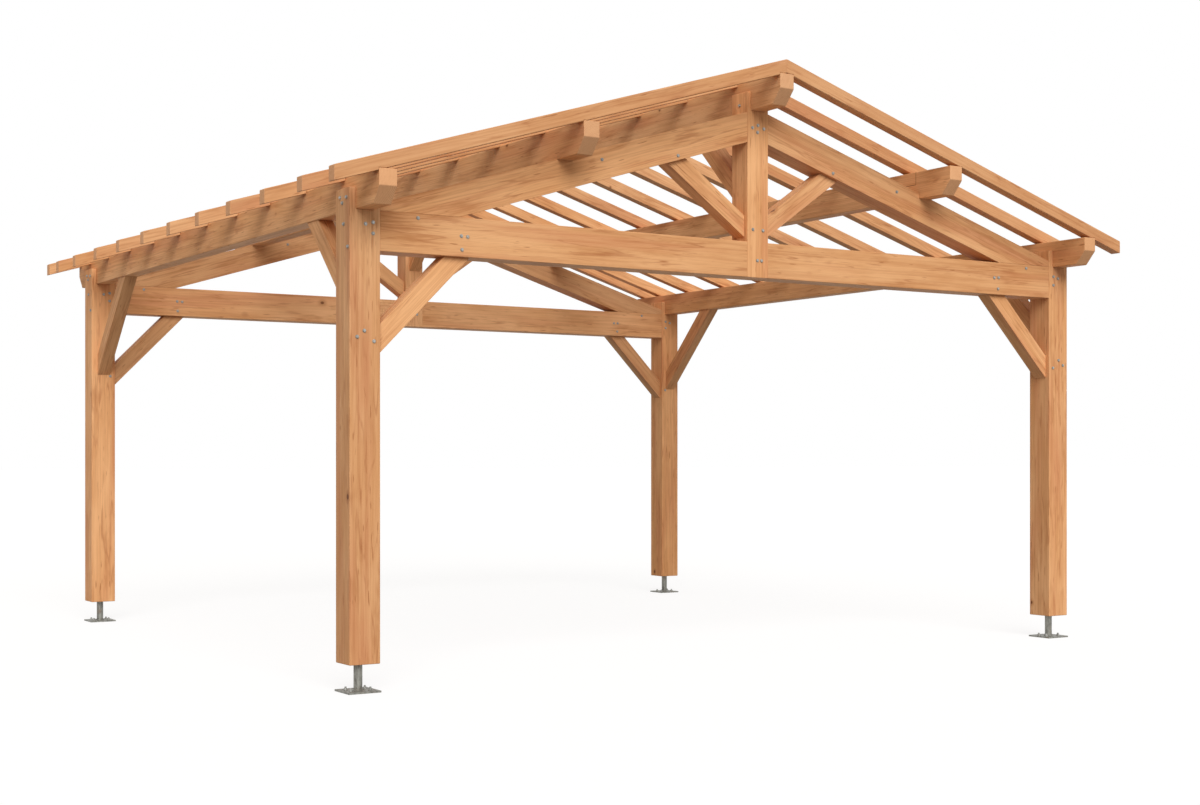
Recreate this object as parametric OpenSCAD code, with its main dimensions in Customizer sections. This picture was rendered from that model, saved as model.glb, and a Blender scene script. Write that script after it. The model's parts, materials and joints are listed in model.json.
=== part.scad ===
// Double carport: an open timber frame with two king-post trusses,
// five purlins and twelve pairs of rafters, standing on four steel feet.
// Width runs along X, depth along Y with the front at -Y, and the ground is
// at Z = 0. The origin is in the middle of the ground that the frame covers.

/* [Frame] */
// Width over the outer faces of the posts
frame_w = 5500; // [4500:50:6700]
// Depth over the outer faces of the posts
frame_d = 4960; // [4100:20:6000]
// Height from the ground to the underside of the tie beams
tie_under_h = 2385; // [1980:5:2900]
// Pitch of the roof in degrees
roof_pitch = 17; // [14:0.5:21]

/* [Posts and feet] */
// Side of the square posts
post_w = 180; // [150:5:220]
// Height of the cheeks that hold a purlin on a post or king post
cheek_h = 115; // [60:5:130]
// Height from the ground to the underside of the posts
foot_h = 155; // [120:5:190]
// Side of the square steel foot plates
plate_w = 190; // [150:5:230]
// Thickness of the foot plates
plate_t = 10; // [6:1:14]
// Diameter of the round steel stems
stem_d = 48; // [38:1:58]
// Spacing of the anchor holes in a foot plate, along the width of the frame
anchor_spacing_x = 114; // [70:1:120]
// Spacing of the anchor holes in a foot plate, along the depth of the frame
anchor_spacing_y = 72; // [64:1:110]
// Diameter of the anchor holes
anchor_hole_d = 13; // [9:1:15]

/* [Trusses] */
// Thickness of the trusses along the depth of the frame
truss_t = 160; // [120:5:170]
// Height of the tie beams
tie_h = 220; // [180:5:260]
// Width of the king posts
king_w = 160; // [120:5:190]
// Thickness of the king posts' legs, which are lapped into the tie beams
lap_t = 80; // [50:5:100]
// Depth of the principal rafters, square to the slope
principal_h = 180; // [140:5:220]
// Depth of the struts, square to their length
strut_h = 110; // [80:5:130]
// Slope of the struts in degrees
strut_slope = 35; // [30:1:42]
// Height of the struts' lower corners above the tie beams
strut_lift = 28; // [5:1:60]

/* [Braces] */
// Thickness of the struts and of the braces under the tie beams
brace_t = 100; // [70:5:115]
// Thickness of the braces under the purlins
purlin_brace_t = 90; // [60:5:100]
// Depth of the braces, square to their length
brace_h = 110; // [80:5:130]
// Leg of the braces under the tie beams, along post and beam
tie_brace_leg = 560; // [400:10:700]
// Leg of the front braces under the eaves purlins
front_brace_leg = 500; // [400:10:700]
// Leg of the back braces under the eaves purlins
back_brace_leg = 700; // [400:10:800]
// Leg of the braces under the ridge purlin
ridge_brace_leg = 560; // [300:10:600]

/* [Purlins] */
// Width of the purlins
purlin_w = 105; // [80:5:120]
// Height of the purlins
purlin_h = 180; // [150:5:220]
// Length of the purlins past the outer faces of the posts
purlin_overhang = 290; // [200:10:400]
// Height of the raking cut under the ends of the purlins
end_cut_h = 90; // [40:5:110]
// Length of the raking cut under the ends of the purlins
end_cut_l = 78; // [40:2:120]
// Distance of the middle purlins from the ridge
middle_purlin_x = 1400; // [1100:10:1700]
// Depth of the middle purlins' seats at the lower edge of the seat
middle_seat_depth = 3; // [1:1:10]

/* [Rafters] */
// Width of the rafters
rafter_w = 75; // [50:5:90]
// Depth of the rafters, square to the slope
rafter_h = 80; // [70:5:110]
// Distance of the plumb-cut rafter tails past the outer faces of the posts
tail_overhang = 215; // [120:5:350]
// Depth of the rafters' notches over the eaves and ridge purlins
rafter_notch = 12; // [4:1:15]
// Depth of the rafters' notches over the middle purlins
middle_notch = 6; // [2:1:12]
// Step from the first rafters to the second
first_step = 425; // [300:5:600]
// Step from the tenth rafters to the eleventh
tenth_step = 460; // [300:5:600]
// Step from the eleventh rafters to the last
last_step = 260; // [150:5:400]

/* [Hidden] */

wood = [0.84, 0.63, 0.45];
steel = [0.55, 0.55, 0.53];
// Cutters run this far past the faces that they cut
past = 5;
bore_fn = 48;
rafters_per_group = 4;
regular_steps = 8;

rise = tan(roof_pitch);
// Sides as signs, seen from the front
left = -1;
right = 1;
front = -1;
back = 1;

// Posts
post_x = (frame_w - post_w) / 2;
post_y = (frame_d - post_w) / 2;
post_inner_x = frame_w / 2 - post_w;

// Trusses stand flush with the front faces of the posts that carry them
tie_top = tie_under_h + tie_h;
brace_setback = (truss_t - brace_t) / 2;

// Roof heights: every rafter's underside lies on rafter_under - rise * |x|
eaves_seat = tie_top;
eaves_corner_x = post_x + purlin_w / 2;
rafter_under = eaves_seat + purlin_h - rafter_notch + rise * eaves_corner_x;
rafter_upright = rafter_h / cos(roof_pitch);
ridge_seat = rafter_under - rise * purlin_w / 2 + rafter_notch - purlin_h;
middle_corner_x = middle_purlin_x + purlin_w / 2;
middle_seat = rafter_under - rise * middle_corner_x + middle_notch - purlin_h;
principal_top = middle_seat + middle_seat_depth + rise * middle_corner_x;
principal_under = principal_top - principal_h / cos(roof_pitch);

// Roof edges
roof_d = frame_d + 2 * purlin_overhang;
tail_x = frame_w / 2 + tail_overhang;

// Rafters: the front faces, from the front of the roof to the back
first_y = -roof_d / 2;
last_y = roof_d / 2 - rafter_w;
second_y = first_y + first_step;
eleventh_y = last_y - last_step;
regular_step = (eleventh_y - tenth_step - second_y) / regular_steps;
rafter_ys = concat(
    [first_y],
    [for (i = [0 : regular_steps]) second_y + i * regular_step],
    [eleventh_y, last_y]
);

// ---- Shapes that repeat ----

// Extrudes an outline drawn in the XZ plane by t along +Y
module upright(t) {
    translate([0, t, 0])
        rotate([90, 0, 0])
            linear_extrude(t)
                children();
}

// Extrudes an outline drawn in the YZ plane by t, centred on X = 0
module sideways(t) {
    translate([-t / 2, 0, 0])
        rotate([90, 0, 90])
            linear_extrude(t)
                children();
}

// Turns a piece that is drawn on the right side over to the given side
module to_side(side) {
    if (side == left)
        mirror([1, 0, 0]) children();
    else
        children();
}

// Outline of a 45 degree brace with its corner at the origin
module brace_outline(leg, h) {
    cut = h * sqrt(2);
    polygon([[0, -leg], [0, cut - leg], [leg - cut, 0], [leg, 0]]);
}

// Cross-section of a purlin that is centred on x and rests at z
module purlin_section(x, z) {
    translate([x - purlin_w / 2, z])
        square([purlin_w, purlin_h]);
}

// Front faces of the two trusses
function truss_y(end) = end == front ? -frame_d / 2 : frame_d / 2 - post_w;

// ---- Sub-parts ----

// Square plate with four anchor holes and the stem that carries the post
module post_base(side, end) {
    color(steel)
        translate([side * post_x, end * post_y, 0]) {
            difference() {
                translate([-plate_w / 2, -plate_w / 2, 0])
                    cube([plate_w, plate_w, plate_t]);
                for (x = [left, right], y = [front, back])
                    translate([x * anchor_spacing_x / 2, y * anchor_spacing_y / 2, -past])
                        cylinder(h = plate_t + 2 * past, d = anchor_hole_d, $fn = bore_fn);
            }
            translate([0, 0, plate_t / 2])
                cylinder(h = foot_h - plate_t / 2, d = stem_d, $fn = bore_fn);
        }
}

// Post with a slot in its head, between two cheeks, for the eaves purlin
module post(side, end) {
    head = eaves_seat + cheek_h;
    color(wood)
        translate([side * post_x, end * post_y, 0])
            difference() {
                translate([-post_w / 2, -post_w / 2, foot_h])
                    cube([post_w, post_w, head - foot_h]);
                translate([-purlin_w / 2, -post_w / 2 - past, eaves_seat])
                    cube([purlin_w, post_w + 2 * past, cheek_h + past]);
            }
}

// Tie beam between the posts, notched in front for the king post's leg
module tie_beam(end) {
    color(wood)
        translate([0, truss_y(end), tie_under_h])
            difference() {
                translate([-post_inner_x, 0, 0])
                    cube([2 * post_inner_x, truss_t, tie_h]);
                translate([-king_w / 2, -past, -past])
                    cube([king_w, lap_t + past, tie_h + 2 * past]);
            }
}

// King post that stands on the tie beam, with a leg lapped over its front
// and a slot in its head for the ridge purlin
module king_post(end) {
    head = ridge_seat + cheek_h;
    color(wood)
        translate([-king_w / 2, truss_y(end), 0])
            difference() {
                union() {
                    translate([0, 0, tie_top])
                        cube([king_w, truss_t, head - tie_top]);
                    translate([0, 0, tie_under_h])
                        cube([king_w, lap_t, tie_h + past]);
                }
                translate([(king_w - purlin_w) / 2, -past, ridge_seat])
                    cube([purlin_w, truss_t + 2 * past, cheek_h + past]);
            }
}

// Principal rafter from the king post down to the tie beam and post, with a
// level seat for the middle purlin
module principal(side, end) {
    inner = king_w / 2;
    foot = (principal_under - tie_top) / rise;
    color(wood)
        translate([0, truss_y(end), 0])
            to_side(side)
                upright(truss_t)
                    difference() {
                        polygon([
                            [inner, principal_under - rise * inner],
                            [inner, principal_top - rise * inner],
                            [post_inner_x, principal_top - rise * post_inner_x],
                            [post_inner_x, tie_top],
                            [foot, tie_top]
                        ]);
                        purlin_section(middle_purlin_x, middle_seat);
                    }
}

// Strut from the king post up to the underside of the principal rafter
module strut(side, end) {
    inner = king_w / 2;
    slope = tan(strut_slope);
    low = tie_top + strut_lift;
    high = low + strut_h / cos(strut_slope);
    // Where an edge that leaves the king post at height z meets the principal
    function reach(z) = (principal_under - z + slope * inner) / (slope + rise);
    color(wood)
        translate([0, truss_y(end) + brace_setback, 0])
            to_side(side)
                upright(brace_t)
                    polygon([
                        [inner, low],
                        [inner, high],
                        [reach(high), principal_under - rise * reach(high)],
                        [reach(low), principal_under - rise * reach(low)]
                    ]);
}

// Brace between a post and the underside of the tie beam
module tie_brace(side, end) {
    color(wood)
        translate([0, truss_y(end) + brace_setback, 0])
            to_side(side)
                translate([post_inner_x, 0, tie_under_h])
                    mirror([1, 0, 0])
                        upright(brace_t)
                            brace_outline(tie_brace_leg, brace_h);
}

// Brace that leaves the inward face at y, on the front or back truss, and
// meets the underside of a purlin at x and z
module purlin_brace(x, y, z, end, leg) {
    color(wood)
        translate([x, y, z])
            mirror([0, end == back ? 1 : 0, 0])
                sideways(purlin_brace_t)
                    brace_outline(leg, brace_h);
}

// Brace between a post and the underside of its eaves purlin
module eaves_brace(side, end) {
    leg = end == front ? front_brace_leg : back_brace_leg;
    purlin_brace(side * post_x, end * (post_y - post_w / 2), eaves_seat, end, leg);
}

// Brace between a king post and the underside of the ridge purlin
module ridge_brace(end) {
    face = end == front ? truss_y(front) + truss_t : truss_y(back);
    purlin_brace(0, face, ridge_seat, end, ridge_brace_leg);
}

// Purlin with a raking cut under both ends, centred on x and resting at z
module purlin(x, z) {
    half = roof_d / 2;
    color(wood)
        translate([x, 0, z])
            sideways(purlin_w)
                polygon([
                    [end_cut_l - half, 0],
                    [-half, end_cut_h],
                    [-half, purlin_h],
                    [half, purlin_h],
                    [half, end_cut_h],
                    [half - end_cut_l, 0]
                ]);
}

// Outline of a rafter on the right side, notched over the three purlins
module rafter_outline() {
    difference() {
        polygon([
            [0, rafter_under],
            [0, rafter_under + rafter_upright],
            [tail_x, rafter_under + rafter_upright - rise * tail_x],
            [tail_x, rafter_under - rise * tail_x]
        ]);
        purlin_section(0, ridge_seat);
        purlin_section(middle_purlin_x, middle_seat);
        purlin_section(post_x, eaves_seat);
    }
}

// Four rafters on one side: group 0 is at the front and group 2 at the back
module rafters(side, group) {
    first = group * rafters_per_group;
    color(wood)
        for (i = [first : first + rafters_per_group - 1])
            translate([0, rafter_ys[i], 0])
                to_side(side)
                    upright(rafter_w)
                        rafter_outline();
}

// ---- Nodes ----

post_base(left, front);  // post_base_front_left
post_base(right, front);  // post_base_front_right
post_base(left, back);  // post_base_back_left
post_base(right, back);  // post_base_back_right
post(left, front);  // post_front_left
post(right, front);  // post_front_right
post(left, back);  // post_back_left
post(right, back);  // post_back_right
tie_beam(front);  // tie_beam_front
tie_beam(back);  // tie_beam_back
king_post(front);  // king_post_front
king_post(back);  // king_post_back
principal(left, front);  // principal_front_left
principal(right, front);  // principal_front_right
principal(left, back);  // principal_back_left
principal(right, back);  // principal_back_right
strut(left, front);  // strut_front_left
strut(right, front);  // strut_front_right
strut(left, back);  // strut_back_left
strut(right, back);  // strut_back_right
tie_brace(left, front);  // tie_brace_front_left
tie_brace(right, front);  // tie_brace_front_right
tie_brace(left, back);  // tie_brace_back_left
tie_brace(right, back);  // tie_brace_back_right
eaves_brace(left, front);  // eaves_brace_front_left
eaves_brace(right, front);  // eaves_brace_front_right
eaves_brace(left, back);  // eaves_brace_back_left
eaves_brace(right, back);  // eaves_brace_back_right
ridge_brace(front);  // ridge_brace_front
ridge_brace(back);  // ridge_brace_back
purlin(left * post_x, eaves_seat);  // eaves_purlin_left
purlin(right * post_x, eaves_seat);  // eaves_purlin_right
purlin(left * middle_purlin_x, middle_seat);  // middle_purlin_left
purlin(right * middle_purlin_x, middle_seat);  // middle_purlin_right
purlin(0, ridge_seat);  // ridge_purlin
rafters(left, 0);  // rafters_front_left
rafters(right, 0);  // rafters_front_right
rafters(left, 1);  // rafters_middle_left
rafters(right, 1);  // rafters_middle_right
rafters(left, 2);  // rafters_back_left
rafters(right, 2);  // rafters_back_right
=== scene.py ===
import json
import math
import random

import bmesh
import bpy
from mathutils import Matrix, Vector
from mathutils.bvhtree import BVHTree


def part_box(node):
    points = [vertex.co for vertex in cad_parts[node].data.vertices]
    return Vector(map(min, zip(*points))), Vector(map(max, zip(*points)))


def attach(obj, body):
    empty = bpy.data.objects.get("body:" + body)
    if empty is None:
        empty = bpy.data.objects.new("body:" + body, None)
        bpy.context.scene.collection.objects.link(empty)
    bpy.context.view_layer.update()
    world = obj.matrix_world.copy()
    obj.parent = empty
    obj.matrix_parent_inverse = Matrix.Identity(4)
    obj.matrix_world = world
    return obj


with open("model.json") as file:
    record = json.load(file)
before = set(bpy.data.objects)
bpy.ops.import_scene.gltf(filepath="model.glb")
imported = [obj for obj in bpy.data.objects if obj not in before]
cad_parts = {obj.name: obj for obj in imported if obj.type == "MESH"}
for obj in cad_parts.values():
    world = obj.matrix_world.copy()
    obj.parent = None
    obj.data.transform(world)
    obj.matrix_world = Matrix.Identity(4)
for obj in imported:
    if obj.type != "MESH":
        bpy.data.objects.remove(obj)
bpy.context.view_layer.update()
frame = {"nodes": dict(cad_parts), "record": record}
print("frame loaded:", len(frame["nodes"]), "nodes")

sides = {"left": -1, "right": 1}
ends = {"front": -1, "back": 1}


# ---- shader tools ----

class Wire:
    # one output socket, so that shader maths reads as plain sums
    def __init__(self, tree, socket):
        self.tree = tree
        self.socket = socket

    def maths(self, operation, first, second=0.0, clamp=False):
        settings = {"operation": operation, "use_clamp": clamp}
        return addNode(self.tree, "ShaderNodeMath", settings, {0: first, 1: second})

    def __add__(self, other):
        return self.maths("ADD", self, other)

    def __radd__(self, other):
        return self.maths("ADD", other, self)

    def __sub__(self, other):
        return self.maths("SUBTRACT", self, other)

    def __rsub__(self, other):
        return self.maths("SUBTRACT", other, self)

    def __mul__(self, other):
        return self.maths("MULTIPLY", self, other)

    def __rmul__(self, other):
        return self.maths("MULTIPLY", other, self)

    def __truediv__(self, other):
        return self.maths("DIVIDE", self, other)

    def __pow__(self, other):
        return self.maths("POWER", self, other)

    def __abs__(self):
        return self.maths("ABSOLUTE", self)

    def clamped(self):
        return self.maths("ADD", self, 0.0, True)

    def floored(self):
        return self.maths("FLOOR", self)

    def above(self, start, stop):
        # 0 below start, 1 above stop, smooth between them
        settings = {"interpolation_type": "SMOOTHSTEP"}
        sockets = {"Value": self, "From Min": start, "From Max": stop}
        return addNode(self.tree, "ShaderNodeMapRange", settings, sockets)

    def output(self, name):
        return Wire(self.tree, self.socket.node.outputs[name])


def addNode(tree, kind, settings=None, sockets=None, out=0):
    # settings come first, then each socket takes a value or a link
    node = tree.nodes.new(kind)
    for name, value in (settings or {}).items():
        setattr(node, name, value)
    for name, value in (sockets or {}).items():
        if isinstance(value, Wire):
            tree.links.new(value.socket, node.inputs[name])
        else:
            node.inputs[name].default_value = value
    return Wire(tree, node.outputs[out])


def vectorMaths(operation, first, second, out="Vector"):
    settings = {"operation": operation}
    return addNode(first.tree, "ShaderNodeVectorMath", settings, {0: first, 1: second}, out)


def packVector(x, y, z):
    return addNode(x.tree, "ShaderNodeCombineXYZ", {}, {"X": x, "Y": y, "Z": z})


def mixColour(factor, first, second):
    settings = {"data_type": "RGBA", "clamp_factor": True}
    return addNode(factor.tree, "ShaderNodeMix", settings, {0: factor, 6: first, 7: second}, 2)


def tinted(colour, tint):
    settings = {"data_type": "RGBA", "blend_type": "MULTIPLY"}
    return addNode(colour.tree, "ShaderNodeMix", settings, {0: 1.0, 6: colour, 7: tint}, 2)


def cloud(place, detail=2.0, roughness=0.5):
    sockets = {"Vector": place, "Scale": 1.0, "Detail": detail, "Roughness": roughness}
    return addNode(place.tree, "ShaderNodeTexNoise", {}, sockets)


def shade(red, green, blue):
    # a colour written as on a paint chart, 0 to 255
    def linear(value):
        value = value / 255
        return value / 12.92 if value <= 0.04045 else ((value + 0.055) / 1.055) ** 2.4
    return (linear(red), linear(green), linear(blue), 1.0)


def startFinish(name):
    finish = bpy.data.materials.new(name)
    finish.use_nodes = True
    tree = finish.node_tree
    tree.nodes.clear()
    return finish, tree


def endFinish(tree, sockets):
    surface = addNode(tree, "ShaderNodeBsdfPrincipled", {}, sockets)
    target = tree.nodes.new("ShaderNodeOutputMaterial")
    tree.links.new(surface.socket, target.inputs["Surface"])


# ---- timber ----

timber = {
    "pale": shade(234, 182, 132),
    "honey": shade(216, 159, 108),
    "rosy": shade(206, 140, 98),
    "latewood": shade(176, 114, 68),
    "vein": shade(160, 92, 54),
    "endGrain": shade(226, 173, 128),
    "knotHeart": shade(96, 52, 28),
    "knotEdge": shade(160, 98, 56),
    "ringWidth": 0.0075,  # metres between growth rings
    "knotSpacing": (0.55, 0.16),  # metres along and across the grain
    "knotLeftOut": 0.45,  # share of the knots that stay away
    "knotSize": 0.014,
    "pithSide": (0.03, 0.12),  # how far the pith may lie from the timber's middle
    "pithRise": (0.02, 0.11),
    "wander": (0.060, 0.016),  # slow and quick wandering of the pith, in metres
    "tone": (0.93, 1.06),
    "warmth": 0.025,
    "roughness": 0.62,
    "sheen": 0.15,
    "relief": 0.35,
    "reliefDepth": 0.0009,
    # waves a metre along the grain and across it, then the noise's detail and roughness
    "strands": {
        "slow": (0.9, 5, 2.0, 0.5),
        "quick": (4, 22, 2.0, 0.5),
        "fibre": (9, 420, 3.0, 0.6),
        "streak": (1.3, 55, 3.0, 0.6),
        "fleck": (8, 85, 1.0, 0.5),
        "patch": (1.1, 4, 3.0, 0.6),
        "blush": (0.7, 9, 2.0, 0.5),
        "coarse": (2.6, 16, 3.0, 0.65),
        "flow": (1.5, 24, 1.0, 0.5),
    },
    # how far each mark changes the colour under it
    "marks": {
        "blush": 0.70,
        "latewood": 0.30,
        "streak": 1.5,
        "bleach": 1.4,
        "coarse": 0.60,
        "fibre": 0.9,
        "vein": 0.34,
        "dash": 0.65,
        "endGrain": 0.80,
        "halo": 0.45,
        "knot": 0.85,
    },
}
rafter = {
    "width": 0.075,
    "rowStart": -2.345,  # front face of the second rafter, where the even steps start
    "firstStep": 0.425,
    "step": 0.540,
    "evenSteps": 8,
    "tenthStep": 0.460,
    "lastStep": 0.260,
    "lotShift": 7.3,  # how far apart neighbouring rafters are cut from the grain, in metres
}


def strand(name, along, across, rise):
    waves, ripples, detail, roughness = timber["strands"][name]
    return cloud(packVector(along * waves, across * ripples, rise * ripples), detail, roughness)


def knotMasks(along, across, rise, shift):
    # balls on a loose lattice, with many left out and most of the rest small
    alongStep, acrossStep = timber["knotSpacing"]
    lattice = packVector(along / alongStep, across / acrossStep + shift, rise / acrossStep)
    sockets = {"Vector": lattice, "Scale": 1.0}
    cells = addNode(along.tree, "ShaderNodeTexVoronoi", {"feature": "F1"}, sockets)
    away = vectorMaths("SUBTRACT", lattice, cells.output("Position"))
    away = vectorMaths("MULTIPLY", away, (alongStep * 0.7, acrossStep, acrossStep))
    distance = vectorMaths("LENGTH", away, (0, 0, 0), "Value")
    luck = addNode(along.tree, "ShaderNodeSeparateColor", {}, {0: cells.output("Color")})
    present = luck.above(timber["knotLeftOut"], timber["knotLeftOut"] + 0.02)
    size = timber["knotSize"] * (0.25 + 0.85 * luck.output("Green") ** 2)
    share = distance / size
    knot = (1 - share.above(0.55, 1.05)) * present
    halo = (1 - share.above(0.8, 2.6)) * present
    return knot, halo


def ringMask(dice, along, across, rise, halo):
    # growth rings round a wandering pith, pushed aside by the knots
    slow = strand("slow", along, across, rise)
    quick = strand("quick", along, across, rise)
    pithSide = dice.choice((-1, 1)) * dice.uniform(*timber["pithSide"])
    pithRise = dice.choice((-1, 1)) * dice.uniform(*timber["pithRise"])
    slowWander, quickWander = timber["wander"]
    pullSide = across + pithSide + (slow - 0.5) * slowWander
    pullRise = rise + pithRise + (quick - 0.5) * quickWander
    radius = (pullSide * pullSide + pullRise * pullRise) ** 0.5 + halo * 0.006
    rings = radius / timber["ringWidth"]
    ringNumber = rings.floored()
    ringPlace = rings - ringNumber
    latewood = ringPlace.above(0.35, 0.88) * (1 - ringPlace.above(0.90, 1.0))
    uneven = cloud(packVector(ringNumber, along * 0.35, 0.0), 0.0)
    return latewood * (0.25 + 1.1 * uneven)


def timberFinish(name, grain, centre, isRafter=False, seam=None):
    dice = random.Random(name)
    finish, tree = startFinish(name)
    place = addNode(tree, "ShaderNodeTexCoord", {}, {}, "Object")
    grain = Vector(grain).normalized()
    level = Vector((0, 1, 0)) if abs(grain.y) < 0.5 else Vector((1, 0, 0))
    level = (level - grain * level.dot(grain)).normalized()
    upright = grain.cross(level)
    offset = vectorMaths("SUBTRACT", place, tuple(centre))
    along = vectorMaths("DOT_PRODUCT", offset, tuple(grain), "Value")
    across = vectorMaths("DOT_PRODUCT", offset, tuple(level), "Value")
    rise = vectorMaths("DOT_PRODUCT", offset, tuple(upright), "Value")
    shift = dice.uniform(-40, 40)
    along = along + shift
    if isRafter:
        # each rafter of the row gets its own length of grain
        parts = addNode(tree, "ShaderNodeSeparateXYZ", {}, {0: place}, "Y")
        row = (parts - rafter["rowStart"]) / rafter["step"]
        rowNumber = row.floored()
        along = along + rowNumber * rafter["lotShift"]
        across = (row - rowNumber) * rafter["step"] - rafter["width"] / 2

    knot, halo = knotMasks(along, across, rise, shift)
    latewood = ringMask(dice, along, across, rise, halo)
    fibre = strand("fibre", along, across, rise)
    streak = strand("streak", along, across, rise)
    patch = strand("patch", along, across, rise)
    blush = strand("blush", along, across, rise)
    coarse = strand("coarse", along, across, rise)
    dash = strand("fleck", along, across, rise).above(0.69, 0.78)
    flow = strand("flow", along, across, rise)
    vein = (1 - abs(flow - 0.5).above(0.008, 0.034)) * coarse.above(0.42, 0.58)

    marks = timber["marks"]
    dark = timber["latewood"]
    colour = mixColour(patch.above(0.32, 0.68), timber["pale"], timber["honey"])
    colour = mixColour(blush.above(0.50, 0.72) * marks["blush"], colour, timber["rosy"])
    colour = mixColour(latewood * marks["latewood"], colour, dark)
    colour = mixColour((streak - 0.46).clamped() * marks["streak"], colour, dark)
    colour = mixColour((0.50 - streak).clamped() * marks["bleach"], colour, timber["pale"])
    colour = mixColour(coarse.above(0.52, 0.78) * marks["coarse"], colour, dark)
    colour = mixColour((fibre - 0.5).clamped() * marks["fibre"], colour, dark)
    colour = mixColour(vein * marks["vein"], colour, timber["vein"])
    colour = mixColour(dash * marks["dash"], colour, timber["knotEdge"])

    # end grain is paler, and shows only its rings
    facing = addNode(tree, "ShaderNodeNewGeometry", {}, {}, "Normal")
    endOn = abs(vectorMaths("DOT_PRODUCT", facing, tuple(grain), "Value")).above(0.62, 0.72)
    endColour = mixColour(latewood * 0.45, timber["endGrain"], dark)
    colour = mixColour(endOn * marks["endGrain"], colour, endColour)
    colour = mixColour(halo * marks["halo"], colour, timber["knotEdge"])
    colour = mixColour(knot * marks["knot"], colour, timber["knotHeart"])

    # no two timbers have quite the same tone
    tone = dice.uniform(*timber["tone"])
    warmth = dice.uniform(-timber["warmth"], timber["warmth"])
    colour = tinted(colour, (tone * (1 + warmth), tone, tone * (1 - 1.5 * warmth), 1.0))
    if isRafter:
        settings = {"noise_dimensions": "1D"}
        lot = addNode(tree, "ShaderNodeTexWhiteNoise", settings, {"W": rowNumber + shift}, "Value")
        colour = mixColour(lot * 0.22, colour, timber["rosy"])
        colour = mixColour((lot - 0.75).clamped() * 0.8, colour, dark)
    height = latewood * 0.35 + fibre * 0.5 + streak * 0.4 - dash * 0.6 - knot * 0.5
    if seam:
        line = seamMask(tree, place, seam)
        colour = mixColour(line * 0.9, colour, timber["knotHeart"])
        height = height - line * 3
    relief = {"Strength": timber["relief"], "Distance": timber["reliefDepth"], "Height": height}
    endFinish(tree, {
        "Base Color": colour,
        "Roughness": timber["roughness"] + (fibre - 0.5) * 0.25 - latewood * 0.06,
        "Specular IOR Level": timber["sheen"],
        "Normal": addNode(tree, "ShaderNodeBump", {}, relief),
    })
    return finish


def seamMask(tree, place, seam):
    # the edge of a half lap: down to mid height, level along, then down to the underside
    parts = addNode(tree, "ShaderNodeSeparateXYZ", {}, {0: place})
    y = parts.output("Y")
    z = parts.output("Z")
    half = seam["gap"] / 2
    upper = z.above(seam["middle"] - half, seam["middle"])
    near = (1 - abs(y - seam["start"]).above(half * 0.6, half * 1.2)) * upper
    far = (1 - abs(y - seam["stop"]).above(half * 0.6, half * 1.2)) * (1 - upper)
    within = y.above(seam["start"], seam["start"] + half) * (1 - y.above(seam["stop"], seam["stop"] + half))
    flat = (1 - abs(z - seam["middle"]).above(half * 0.6, half * 1.2)) * within
    return (near + far + flat).clamped()


# ---- steel ----

steel = {
    "plain": shade(150, 150, 142),
    "dark": shade(108, 106, 100),
    "brown": shade(136, 116, 98),
    "zinc": shade(176, 176, 171),
    "zincDark": shade(138, 138, 133),
    # waves a metre along X, Y and Z
    "mill": (60, 60, 18),
    "brushed": (900, 900, 12),
    "stain": (14, 14, 9),
}


def steelFinish(name, plain, dark, brown, metallic, roughness):
    finish, tree = startFinish(name)
    place = addNode(tree, "ShaderNodeTexCoord", {}, {}, "Object")
    mill = cloud(vectorMaths("MULTIPLY", place, steel["mill"]), 4.0, 0.6)
    brushed = cloud(vectorMaths("MULTIPLY", place, steel["brushed"]), 2.0)
    stain = cloud(vectorMaths("MULTIPLY", place, steel["stain"]), 3.0, 0.6)
    colour = mixColour(mill.above(0.35, 0.7), plain, dark)
    colour = mixColour(stain.above(0.55, 0.72) * 0.5, colour, brown)
    relief = {"Strength": 0.25, "Distance": 0.0004, "Height": mill + brushed * 0.4}
    endFinish(tree, {
        "Base Color": colour,
        "Metallic": metallic,
        "Roughness": roughness + (mill - 0.5) * 0.3,
        "Normal": addNode(tree, "ShaderNodeBump", {}, relief),
    })
    return finish


# ---- the timbers' finishes and eased edges ----

slopes = {"roof": math.radians(17), "strut": math.radians(35), "brace": math.radians(45)}
easing = {"width": 0.004, "segments": 2, "angle": math.radians(25), "merge": 0.00005}
lap = {"gap": 0.004, "start": -2.447, "stop": -2.205, "middle": 3.080}


def grainOf(node):
    side = -1 if node.endswith("left") else 1
    end = 1 if "back" in node else -1
    if node.startswith(("post_", "king_post")):
        return (0, 0, 1)
    if node.startswith("tie_beam"):
        return (1, 0, 0)
    if "purlin" in node:
        return (0, 1, 0)
    if node.startswith(("principal", "rafters")):
        return (math.cos(slopes["roof"]), 0, -side * math.sin(slopes["roof"]))
    if node.startswith("strut"):
        return (side * math.cos(slopes["strut"]), 0, math.sin(slopes["strut"]))
    if node.startswith("tie_brace"):
        return (-side * math.cos(slopes["brace"]), 0, math.sin(slopes["brace"]))
    return (0, -end * math.cos(slopes["brace"]), math.sin(slopes["brace"]))


def easeEdges(piece):
    merge = piece.modifiers.new("merge", "WELD")
    merge.merge_threshold = easing["merge"]
    bevel = piece.modifiers.new("ease", "BEVEL")
    bevel.width = easing["width"]
    bevel.segments = easing["segments"]
    bevel.limit_method = "ANGLE"
    bevel.angle_limit = easing["angle"]
    bevel.profile = 0.5
    even = piece.modifiers.new("even", "WEIGHTED_NORMAL")
    even.weight = 100


def paint(piece, finish):
    piece.data.materials.clear()
    piece.data.materials.append(finish)


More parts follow.
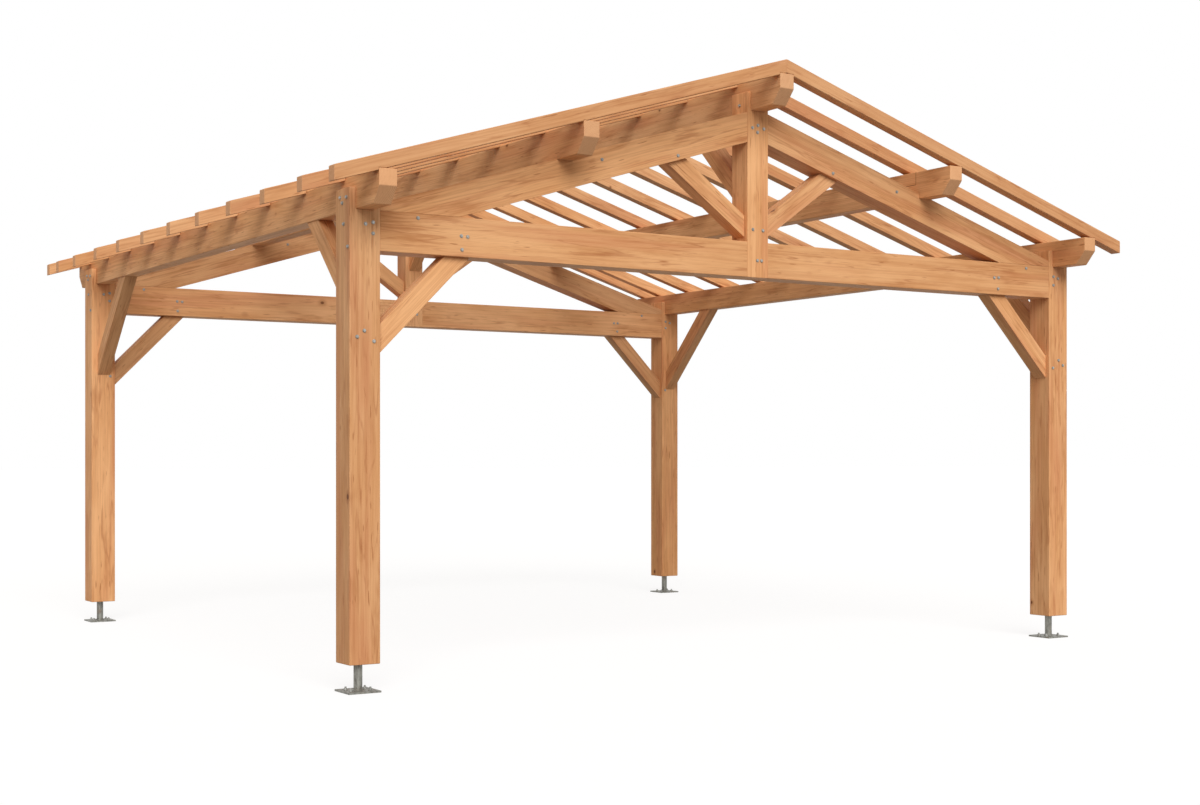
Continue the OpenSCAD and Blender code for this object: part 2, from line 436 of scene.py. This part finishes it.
footSteel = steelFinish("foot_steel", steel["plain"], steel["dark"], steel["brown"], 0.65, 0.48)
zinc = steelFinish("zinc", steel["zinc"], steel["zincDark"], steel["plain"], 0.60, 0.42)
for name, piece in frame["nodes"].items():
    if name.startswith("post_base"):
        paint(piece, footSteel)
        continue
    low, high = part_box(name)
    centre = (Vector(low) + Vector(high)) / 2
    seam = lap if name == "middle_purlin_right" else None
    paint(piece, timberFinish(name, grainOf(name), centre, name.startswith("rafters"), seam))
    easeEdges(piece)
print("timbers and feet finished")


# ---- bolts, screws and ground anchors ----

bolt = {
    "across": 0.015,
    "head": 0.007,
    "washer": 0.0105,
    "washerT": 0.002,
    "sunk": 0.0005,
    "easing": 0.0018,
    "probe": 0.002,  # how far above and below the face the seat is tested
    "probes": 8,
}
screw = {"radius": 0.0075, "head": 0.0025, "sunk": 0.001, "fromRidge": 0.030}
anchor = {
    "across": 0.017,
    "nut": 0.008,
    "washer": 0.0115,
    "washerT": 0.002,
    "stud": 0.006,
    "rise": 0.018,
    "easing": 0.0012,
}
foot = {"plateTop": 0.010, "stemRadius": 0.024}
weld = {"radius": 0.0055, "sides": 10, "turns": 40}


def turnTo(direction):
    return Vector(direction).to_track_quat("Z", "Y").to_matrix().to_4x4()


def addDisc(mesh, base, direction, radius, height, segments, easing=0.0):
    # a round or six-sided disc that stands on base
    middle = Vector(base) + Vector(direction) * height / 2
    matrix = Matrix.Translation(middle) @ turnTo(direction)
    made = bmesh.ops.create_cone(mesh, cap_ends=True, segments=segments, radius1=radius,
                                 radius2=radius, depth=height, matrix=matrix)
    if easing:
        outer = Vector(base) + Vector(direction) * height
        rim = [edge for vert in made["verts"] for edge in vert.link_edges
               if all((v.co - outer).dot(Vector(direction)) > -0.0001 for v in edge.verts)]
        bmesh.ops.bevel(mesh, geom=list(set(rim)), offset=easing, affect="EDGES", segments=1,
                        profile=0.5, material=-1)


def searchTree(piece):
    corners = [vertex.co for vertex in piece.data.vertices]
    return BVHTree.FromPolygons(corners, [face.vertices for face in piece.data.polygons])


trees = [searchTree(piece) for piece in frame["nodes"].values()]
leftOut = []
probeRay = Vector((0.37, 0.59, 0.72)).normalized()  # along no timber's face


def isInTimber(point):
    # a ray that starts inside a closed timber leaves it through the back of a face
    for tree in trees:
        spot, normal, face, distance = tree.ray_cast(point, probeRay)
        if spot is not None and normal.dot(probeRay) > 0:
            return True
    return False


def hasSeat(base, direction):
    # a washer needs timber under its whole face, and no other timber over it
    turn = turnTo(direction)
    step = math.tau / bolt["probes"]
    angles = [step * i for i in range(bolt["probes"])]
    spots = [base + turn @ Vector((math.cos(a), math.sin(a), 0)) * bolt["washer"] for a in angles]
    lift = direction * bolt["probe"]
    return all(isInTimber(spot - lift) and not isInTimber(spot + lift) for spot in spots + [base])


def addBolt(mesh, base, direction):
    direction = Vector(direction)
    if not hasSeat(Vector(base), direction):
        leftOut.append(base)
        return
    start = Vector(base) - direction * bolt["sunk"]
    addDisc(mesh, start, direction, bolt["washer"], bolt["washerT"] + bolt["sunk"], 20)
    top = Vector(base) + direction * bolt["washerT"]
    addDisc(mesh, top, direction, bolt["across"] / math.sqrt(3), bolt["head"], 6, bolt["easing"])


def finishPiece(mesh, name, finish):
    data = bpy.data.meshes.new(name)
    bmesh.ops.recalc_face_normals(mesh, faces=mesh.faces)
    mesh.to_mesh(data)
    mesh.free()
    piece = bpy.data.objects.new(name, data)
    bpy.context.scene.collection.objects.link(piece)
    paint(piece, finish)
    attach(piece, "root")
    return piece


# places on the trusses' faces: distance from the frame's middle, then height
boltPlaces = {
    "king": [(-0.042, 3.312), (0.0, 3.330), (0.046, 3.312), (-0.003, 3.286), (-0.039, 2.682),
             (0.039, 2.680), (-0.004, 2.491), (0.028, 2.491)],
    "tie": [(2.343, 2.581), (2.076, 2.501), (2.036, 2.499), (2.072, 2.425)],
    "principal": [(0.605, 3.086), (1.148, 3.012)],
    "post": [(2.657, 2.527), (2.612, 2.538), (2.612, 2.478), (2.664, 1.952), (2.706, 1.918),
             (2.607, 1.897)],
}
# places on the posts' outer faces: distance from the post's middle, then height
outerPlaces = [(0.028, 2.674), (-0.054, 2.668), (0.0, 2.642), (-0.017, 2.527), (-0.070, 2.401)]
cheekHeight = 3.457


def makeTrussBolts(end):
    low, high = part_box("tie_beam_" + end)
    mesh = bmesh.new()
    for face, direction in ((low[1], -1), (high[1], 1)):
        for x, z in boltPlaces["king"]:
            addBolt(mesh, (x, face, z), (0, direction, 0))
        for x, z in boltPlaces["tie"] + boltPlaces["principal"]:
            for side in sides.values():
                addBolt(mesh, (side * x, face, z), (0, direction, 0))
    kingLow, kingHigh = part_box("king_post_" + end)
    middle = (kingLow[1] + kingHigh[1]) / 2
    for x, direction in ((kingLow[0], -1), (kingHigh[0], 1)):
        addBolt(mesh, (x, middle, cheekHeight), (direction, 0, 0))
    return finishPiece(mesh, "truss_bolts_" + end, zinc)


def makePostBolts(end, side):
    name = "post_%s_%s" % (end, side)
    low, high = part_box(name)
    sign = sides[side]
    mesh = bmesh.new()
    for face, direction in ((low[1], -1), (high[1], 1)):
        for x, z in boltPlaces["post"]:
            addBolt(mesh, (sign * x, face, z), (0, direction, 0))
    outer = low[0] if sign < 0 else high[0]
    middle = (low[1] + high[1]) / 2
    for y, z in outerPlaces:
        addBolt(mesh, (outer, middle + y, z), (sign, 0, 0))
    return finishPiece(mesh, "post_bolts_%s_%s" % (end, side), zinc)


def makeFootFittings(end, side):
    # a stud, washer and nut in each anchor hole, and the weld round the stem
    low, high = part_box("post_base_%s_%s" % (end, side))
    centre = (Vector(low) + Vector(high)) / 2
    anchorsName = "anchors_%s_%s" % (end, side)
    mount = next(m for m in frame["record"]["mounts"] if m["name"] == anchorsName)
    stepX = mount["dims"]["spacing_x_mm"] / 2000
    stepY = mount["dims"]["spacing_y_mm"] / 2000
    up = Vector((0, 0, 1))
    hidden = foot["plateTop"] - 0.001  # the stud's length inside the plate
    mesh = bmesh.new()
    for x in (-stepX, stepX):
        for y in (-stepY, stepY):
            spot = Vector((centre.x + x, centre.y + y, foot["plateTop"]))
            addDisc(mesh, spot, up, anchor["washer"], anchor["washerT"], 20)
            nut = spot + up * anchor["washerT"]
            addDisc(mesh, nut, up, anchor["across"] / math.sqrt(3), anchor["nut"], 6, anchor["easing"])
            stud = spot - up * hidden
            addDisc(mesh, stud, up, anchor["stud"], hidden + anchor["rise"], 16, anchor["easing"])
    finishPiece(mesh, anchorsName, zinc)
    bead = bmesh.new()
    ring = bmesh.ops.create_circle(bead, segments=weld["sides"], radius=weld["radius"],
                                   matrix=Matrix.Rotation(math.radians(90), 4, "X"))
    bmesh.ops.translate(bead, verts=ring["verts"], vec=(foot["stemRadius"] + 0.001, 0, 0.001))
    bmesh.ops.spin(bead, geom=bead.verts[:] + bead.edges[:], cent=(0, 0, 0), axis=(0, 0, 1),
                   angle=math.tau, steps=weld["turns"], use_merge=True)
    bmesh.ops.remove_doubles(bead, verts=bead.verts, dist=0.00001)
    bmesh.ops.translate(bead, verts=bead.verts, vec=(centre.x, centre.y, foot["plateTop"]))
    finishPiece(bead, "stem_weld_%s_%s" % (end, side), footSteel)


def rafterFaces():
    # the front face of every rafter, from front to back
    even = [rafter["rowStart"] + rafter["step"] * i for i in range(rafter["evenSteps"] + 1)]
    tenth = even[-1] + rafter["tenthStep"]
    return [rafter["rowStart"] - rafter["firstStep"]] + even + [tenth, tenth + rafter["lastStep"]]


def middleX(name):
    low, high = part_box(name)
    return (low[0] + high[0]) / 2


def makeRafterScrews(side):
    # one screw through each rafter over each purlin
    sign = sides[side]
    slope = math.tan(slopes["roof"])
    direction = Vector((sign * math.sin(slopes["roof"]), 0, math.cos(slopes["roof"])))
    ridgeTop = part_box("rafters_front_" + side)[1][2]
    places = (screw["fromRidge"], middleX("middle_purlin_right"), middleX("eaves_purlin_right"))
    mesh = bmesh.new()
    for face in rafterFaces():
        for x in places:
            spot = Vector((sign * x, face + rafter["width"] / 2, ridgeTop - slope * x))
            spot = spot - direction * screw["sunk"]
            addDisc(mesh, spot, direction, screw["radius"], screw["head"], 12)
    return finishPiece(mesh, "rafter_screws_" + side, zinc)


for end in ends:
    makeTrussBolts(end)
    for side in sides:
        makePostBolts(end, side)
        makeFootFittings(end, side)
for side in sides:
    makeRafterScrews(side)
print("bolts, screws and anchors made; bolts without a free seat left out:", len(leftOut))


# ---- floor, light and camera ----

studio = {
    "sky": 0.50,  # strength of the soft light from all round
    "skyTint": (1.0, 0.91, 0.82, 1.0),
    "sun": 2.70,
    "sunFrom": (-0.30, -0.80, 0.60),
    "sunSpread": 42,
    "floorBounce": 0.30,
    "floorSeen": 0.90,
    "floorGlow": 0.80,
    "glowStrength": 1.05,
    "floorReach": 150,
    "floorDrop": 0.0005,
}
cameraView = {
    "place": (-6.5695, -10.9669, 1.2740),
    "turn": 32.506,  # degrees from straight ahead towards the right
    "lens": 51.66,
    "shiftY": 0.04518,
    "sensor": 36,
    "reach": 500,
}


def seenDirectly(tree):
    path = addNode(tree, "ShaderNodeLightPath", {}, {}, "Is Camera Ray")
    glossy = path.output("Is Glossy Ray")
    clear = path.output("Is Transmission Ray")
    return path.maths("MAXIMUM", path, glossy.maths("MAXIMUM", glossy, clear))


def makeFloor():
    mesh = bmesh.new()
    bmesh.ops.create_grid(mesh, x_segments=1, y_segments=1, size=studio["floorReach"])
    bmesh.ops.translate(mesh, verts=mesh.verts, vec=(0, 0, -studio["floorDrop"]))
    data = bpy.data.meshes.new("studio_floor")
    mesh.to_mesh(data)
    mesh.free()
    floor = bpy.data.objects.new("studio_floor", data)
    bpy.context.scene.collection.objects.link(floor)
    finish, tree = startFinish("studio_floor")
    seen = seenDirectly(tree)
    level = seen * (studio["floorSeen"] - studio["floorBounce"]) + studio["floorBounce"]
    matt = addNode(tree, "ShaderNodeBsdfDiffuse", {}, {"Color": packVector(level, level, level)})
    glow = addNode(tree, "ShaderNodeEmission", {}, {"Color": (1, 1, 1, 1), "Strength": studio["glowStrength"]})
    sockets = {0: seen * studio["floorGlow"], 1: matt, 2: glow}
    both = addNode(tree, "ShaderNodeMixShader", {}, sockets)
    target = tree.nodes.new("ShaderNodeOutputMaterial")
    tree.links.new(both.socket, target.inputs["Surface"])
    paint(floor, finish)


def makeLight():
    world = bpy.data.worlds.new("studio_world")
    bpy.context.scene.world = world
    world.use_nodes = True
    tree = world.node_tree
    tree.nodes.clear()
    strength = seenDirectly(tree) * (1 - studio["sky"]) + studio["sky"]
    colour = mixColour(seenDirectly(tree), studio["skyTint"], (1, 1, 1, 1))
    back = addNode(tree, "ShaderNodeBackground", {}, {"Color": colour, "Strength": strength})
    target = tree.nodes.new("ShaderNodeOutputWorld")
    tree.links.new(back.socket, target.inputs["Surface"])
    lamp = bpy.data.lights.new("studio_sun", "SUN")
    lamp.energy = studio["sun"]
    lamp.angle = math.radians(studio["sunSpread"])
    sun = bpy.data.objects.new("studio_sun", lamp)
    sun.rotation_euler = Vector(studio["sunFrom"]).to_track_quat("Z", "Y").to_euler()
    bpy.context.scene.collection.objects.link(sun)


def makeCamera():
    data = bpy.data.cameras.new("studio_camera")
    data.sensor_width = cameraView["sensor"]
    data.lens = cameraView["lens"]
    data.shift_y = cameraView["shiftY"]
    data.clip_end = cameraView["reach"]
    camera = bpy.data.objects.new("studio_camera", data)
    camera.location = cameraView["place"]
    camera.rotation_euler = (math.radians(90), 0, -math.radians(cameraView["turn"]))
    bpy.context.scene.collection.objects.link(camera)
    bpy.context.scene.camera = camera


makeFloor()
makeLight()
makeCamera()
bpy.context.scene.view_settings.view_transform = "Standard"
print("floor, light and camera set")
